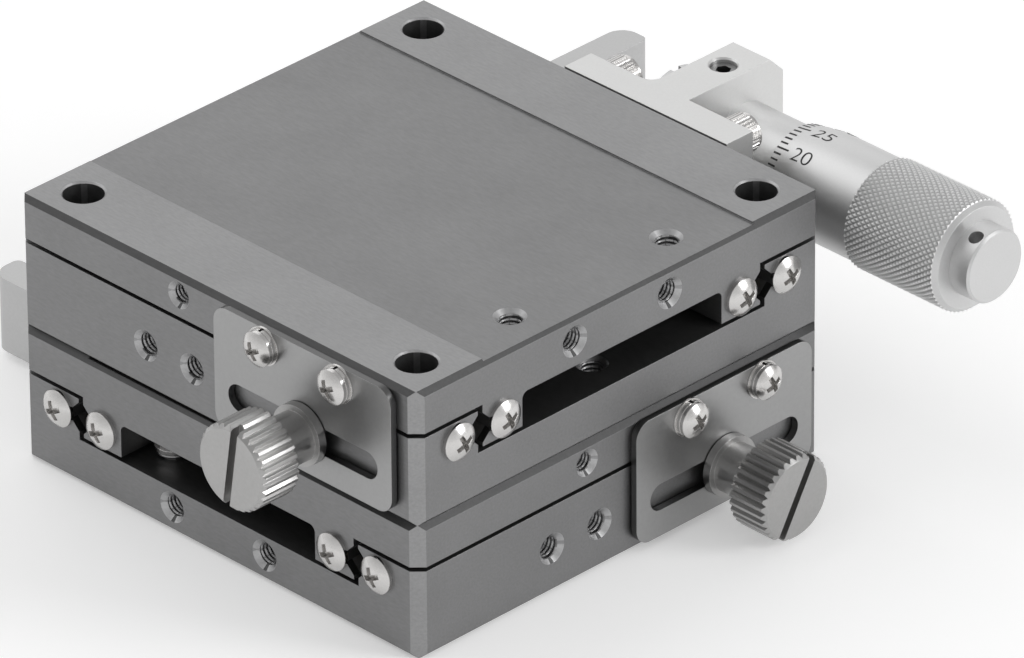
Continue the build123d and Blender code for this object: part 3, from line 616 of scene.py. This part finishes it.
dial_bars = []
line_start = drum_front + line_gap
for division in range(divisions):
    line_end = line_start + (short_line if division % lines_per_number else long_line)
    dial_bars.append(bar_on_drum(line_start, line_end, dial_angle(division), line_width, cone_radius))
dial_vertices, dial_faces = join_solids(dial_bars)
for slide in ("y", "x"):
    marks = make_piece(f"{slide}_dial_lines", slide, dial_vertices, dial_faces, ink, f"{slide}_thimble")
print("Dial lines:", len(dial_bars))

# %% Bend the numbers round the drum
digit_height, digit_stretch, number_start, text_depth = 1.7, 1.25, 17.0, 0.02
capital_share, thinning, longest_share = 0.72, 0.018, 0.3
same_point, split_rounds = 0.0005, 3


def flat_number(text, height):
    """A number as a thin solid in millimetres, with its middle left at the origin."""
    curve = bpy.data.curves.new("number_" + text, "FONT")
    curve.body = text
    curve.size = height / capital_share
    curve.extrude = text_depth
    curve.offset = -height * thinning
    curve.align_y = "CENTER"
    holder = bpy.data.objects.new("number_" + text, curve)
    bpy.context.scene.collection.objects.link(holder)
    bpy.context.view_layer.update()
    mesh = bpy.data.meshes.new_from_object(holder.evaluated_get(bpy.context.evaluated_depsgraph_get()))
    bpy.data.objects.remove(holder)
    work = bmesh.new()
    work.from_mesh(mesh)
    bmesh.ops.remove_doubles(work, verts=work.verts, dist=same_point)
    bmesh.ops.triangulate(work, faces=work.faces)
    for _ in range(split_rounds):
        long_edges = [edge for edge in work.edges if edge.calc_length() > height * longest_share]
        if long_edges:
            bmesh.ops.subdivide_edges(work, edges=long_edges, cuts=1)
            bmesh.ops.triangulate(work, faces=work.faces)
    points = [vertex.co.copy() for vertex in work.verts]
    faces = [tuple(vertex.index for vertex in face.verts) for face in work.faces]
    work.free()
    bpy.data.meshes.remove(mesh)
    low = min(point.y for point in points)
    middle = (low + max(point.y for point in points)) / 2
    return [Vector((point.x * digit_stretch, point.y - middle, point.z)) for point in points], faces


def number_on_drum(text, angle, start, height, radius_at):
    """A number that reads along the axis, with its top towards smaller angles."""
    points, faces = flat_number(text, height)
    bent = []
    for point in points:
        radius = radius_at(start + point.x)
        bent.append(on_drum(start + point.x, radius + point.z, angle - math.degrees(point.y / radius)))
    return bent, faces


numbers = [number_on_drum(str(value), dial_angle(value), number_start, digit_height, cone_radius)
           for value in range(0, divisions, lines_per_number)]
number_vertices, number_faces = join_solids(numbers)
for slide in ("y", "x"):
    figures = make_piece(f"{slide}_dial_numbers", slide, number_vertices, number_faces,
                         ink, f"{slide}_thimble")
print("Number faces:", len(number_faces))

# %% [markdown]
# ## The scale on the sleeve
#
# The thimble's front edge runs over a scale on the fixed sleeve: one index line, a tick at each whole
# millimetre on one side of it and a tick at each half on the other. It is turned away from the camera
# in the photograph, so its place round the sleeve is chosen so that the dial reads a whole number.

# %% Lay the index line and the ticks
sleeve_radius = 4.98
index_angle, scale_zero, scale_length = 18.0, 8.15, 13
index_beyond, tick_length, tick_width, tick_steps = 0.6, 1.1, 0.12, 4
tick_overlap, scale_rise = 1.02, 0.01


def sleeve_surface(along):
    """The sleeve has the same radius everywhere."""
    return sleeve_radius - line_rise + scale_rise


def tick_on_sleeve(along, side):
    """A tick across the sleeve, from the index line towards one side of it."""
    solids = []
    reach = math.degrees(tick_length / sleeve_radius)
    for part in range(tick_steps):
        angle = index_angle + side * reach * (part + 0.5) / tick_steps
        width = tick_length / tick_steps * tick_overlap
        start, end = along - tick_width / 2, along + tick_width / 2
        solids.append(bar_on_drum(start, end, angle, width, sleeve_surface))
    return join_solids(solids)


index_start, index_end = scale_zero - index_beyond, scale_zero + scale_length + index_beyond
scale_parts = [bar_on_drum(index_start, index_end, index_angle, tick_width, sleeve_surface)]
scale_parts += [tick_on_sleeve(scale_zero + step, 1) for step in range(scale_length + 1)]
scale_parts += [tick_on_sleeve(scale_zero + step + 0.5, -1) for step in range(scale_length)]
scale_vertices, scale_faces = join_solids(scale_parts)
for slide in ("y", "x"):
    scale = make_piece(f"{slide}_sleeve_scale", slide, scale_vertices, scale_faces, ink, moving_body[slide])
print("Scale solids:", len(scale_parts))

# %% [markdown]
# ## Threads in the tapped holes
#
# Looking into a tapped hole one sees a few bright turns of thread and then the dark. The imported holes
# are plain bores, so each one gets a ridge wound on its wall: a small triangle swept along a helix.

# %% Wind a ridge into each tapped hole
thread_segments = 28
ridge_share, flank_share, root_sink = 0.26, 0.42, 0.02
mouth_share, mouth_gap = 0.35, 0.35


def thread_ridge(mouth, outward, radius, pitch, depth):
    """A helical ridge inside a round hole whose mouth looks along outward."""
    outward = Vector(outward)
    across = outward.orthogonal().normalized()
    beside = outward.cross(across)
    rise = ridge_share * pitch
    start = mouth_share * pitch + mouth_gap
    steps = int(depth / pitch * thread_segments)
    vertices, faces = [], []
    for step in range(steps + 1):
        turn = 2 * math.pi * step / thread_segments
        along = start + depth * step / steps
        fade = min(1.0, step / thread_segments * 2, (steps - step) / thread_segments * 2)
        radial = across * math.cos(turn) + beside * math.sin(turn)
        flank = flank_share * pitch
        for offset, height in ((-flank, -root_sink), (0, rise * fade), (flank, -root_sink)):
            vertices.append(Vector(mouth) - outward * (along + offset) + radial * (radius - height))
    for step in range(steps):
        for corner in range(3):
            near, beside_it = step * 3 + corner, step * 3 + (corner + 1) % 3
            faces.append((near, beside_it, beside_it + 3, near + 3))
    faces += [(2, 1, 0), (steps * 3, steps * 3 + 1, steps * 3 + 2)]
    return vertices, faces


# %% List the tapped holes: mouth, the way it looks, tap radius, pitch, thread depth
m3, m25, m4 = (1.25, 0.5), (1.025, 0.45), (1.65, 0.7)
half, corner = 30.0, 25
long_thread, short_thread, foot_thread = 4.5, 4.0, 6.0
end_taps, top_taps, side_taps, spare_tap, floor_tap = (-7, 7), (-11.5, 11.5), (-10.5, -3.5), -5.3, 25.4
table_end_height, recess_floor, spare_tap_height = 12.95, 15.8, 13.6
base_end_height, side_tap_height, channel_floor = 3.15, 5.4, 5.5
table_holes = [((half, side, table_end_height), (1, 0, 0), *m3, long_thread) for side in end_taps]
table_holes += [((corner, side, recess_floor), (0, 0, 1), *m3, long_thread) for side in top_taps]
table_holes += [((spare_tap, -half, spare_tap_height), (0, -1, 0), *m25, short_thread)]
base_holes = [((-half, side, base_end_height), (-1, 0, 0), *m3, long_thread) for side in end_taps]
base_holes += [((along, -half, side_tap_height), (0, -1, 0), *m3, long_thread) for along in side_taps]
base_holes += [((floor_tap, 0, channel_floor), (0, 0, 1), *m3, short_thread)]
foot_holes = [((along, side, 0), (0, 0, -1), *m4, foot_thread)
              for along in (-corner, corner) for side in (-corner, corner)]

# %% Wind a ridge into each of them
ridge_limit = 30
for slide in ("y", "x"):
    holes = {"table": (table_holes, moving_body[slide]), "base": (base_holes, fixed_body[slide])}
    if slide == "y":
        holes["foot"] = (foot_holes, fixed_body[slide])
    for kind, (spots, body) in holes.items():
        ridge_vertices, ridge_faces = join_solids([thread_ridge(*spot) for spot in spots])
        threads = make_piece(f"{slide}_{kind}_threads", slide, ridge_vertices, ridge_faces,
                             plate_steel, body, True)
        sharpen(threads.data, ridge_limit)
print("Tapped holes:", len(table_holes) * 2 + len(base_holes) * 2 + len(foot_holes))

# %% [markdown]
# ## The return springs
#
# A tension spring in each channel pulls the table against the micrometer's spindle. It is a wire on a
# helix whose last turns straighten out into a loop round each screw. One end stays with the base and
# the other goes with the table. Here the wound wire is made once in its resting shape and is not
# attached to either body.

# %% Wind a spring as a tube along its path
spring_y, spring_z, wire_radius, coil_radius = 12.1, 7.2, 0.25, 1.25
near_post, far_post, loop_radius = -25.0, 12.0, 1.5
coil_start, coil_end, coil_turns = -21.0, 8.0, 46
loop_steps, coil_steps, hook_inset = 20, 14, 2
first_opening, last_opening, loop_sweep = 60, 210, 270


def loop_points(post, height, opening):
    """A loop round a screw, open towards the angle where it starts."""
    turns = [math.radians(opening + loop_sweep * step / loop_steps) for step in range(loop_steps + 1)]
    return [(post + loop_radius * math.cos(turn), spring_y + loop_radius * math.sin(turn), height)
            for turn in turns]


def spring_path():
    """Points of the wire from the loop on the base's screw to the loop on the table's screw."""
    path = loop_points(near_post, spring_z - coil_radius, first_opening)
    total = coil_turns * coil_steps + coil_steps // 2
    for step in range(total + 1):
        turn = -math.pi / 2 + 2 * math.pi * step / coil_steps
        path.append((coil_start + (coil_end - coil_start) * step / total,
                     spring_y + coil_radius * math.cos(turn), spring_z + coil_radius * math.sin(turn)))
    path += loop_points(far_post, spring_z + coil_radius, last_opening)
    return [Vector(point) for point in path]


def tube(path, radius, sides=8):
    """A closed round tube along a path."""
    vertices, faces = [], []
    normal = Vector((0, 0, 1))
    for index, point in enumerate(path):
        tangent = (path[min(index + 1, len(path) - 1)] - path[max(index - 1, 0)]).normalized()
        normal = (normal - tangent * normal.dot(tangent)).normalized()
        binormal = tangent.cross(normal)
        for side in range(sides):
            turn = 2 * math.pi * side / sides
            vertices.append(point + (normal * math.cos(turn) + binormal * math.sin(turn)) * radius)
    for ring in range(len(path) - 1):
        for side in range(sides):
            near, beside = ring * sides + side, ring * sides + (side + 1) % sides
            faces.append((near, beside, beside + sides, near + sides))
    faces.append(tuple(range(sides))[::-1])
    faces.append(tuple(range((len(path) - 1) * sides, len(path) * sides)))
    return vertices, faces


spring_vertices, spring_faces = tube(spring_path(), wire_radius)
for slide in ("y", "x"):
    mesh = bpy.data.meshes.new(f"{slide}_wound_spring")
    mesh.from_pydata([slide_place[slide] @ point for point in spring_vertices], [], spring_faces)
    mesh.materials.append(wire_steel)
    mesh.shade_smooth()
    spring = bpy.data.objects.new(mesh.name, mesh)
    bpy.context.scene.collection.objects.link(spring)
    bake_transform(spring)
    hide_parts(f"{slide}_return_spring")
print("Spring faces:", len(spring_faces))
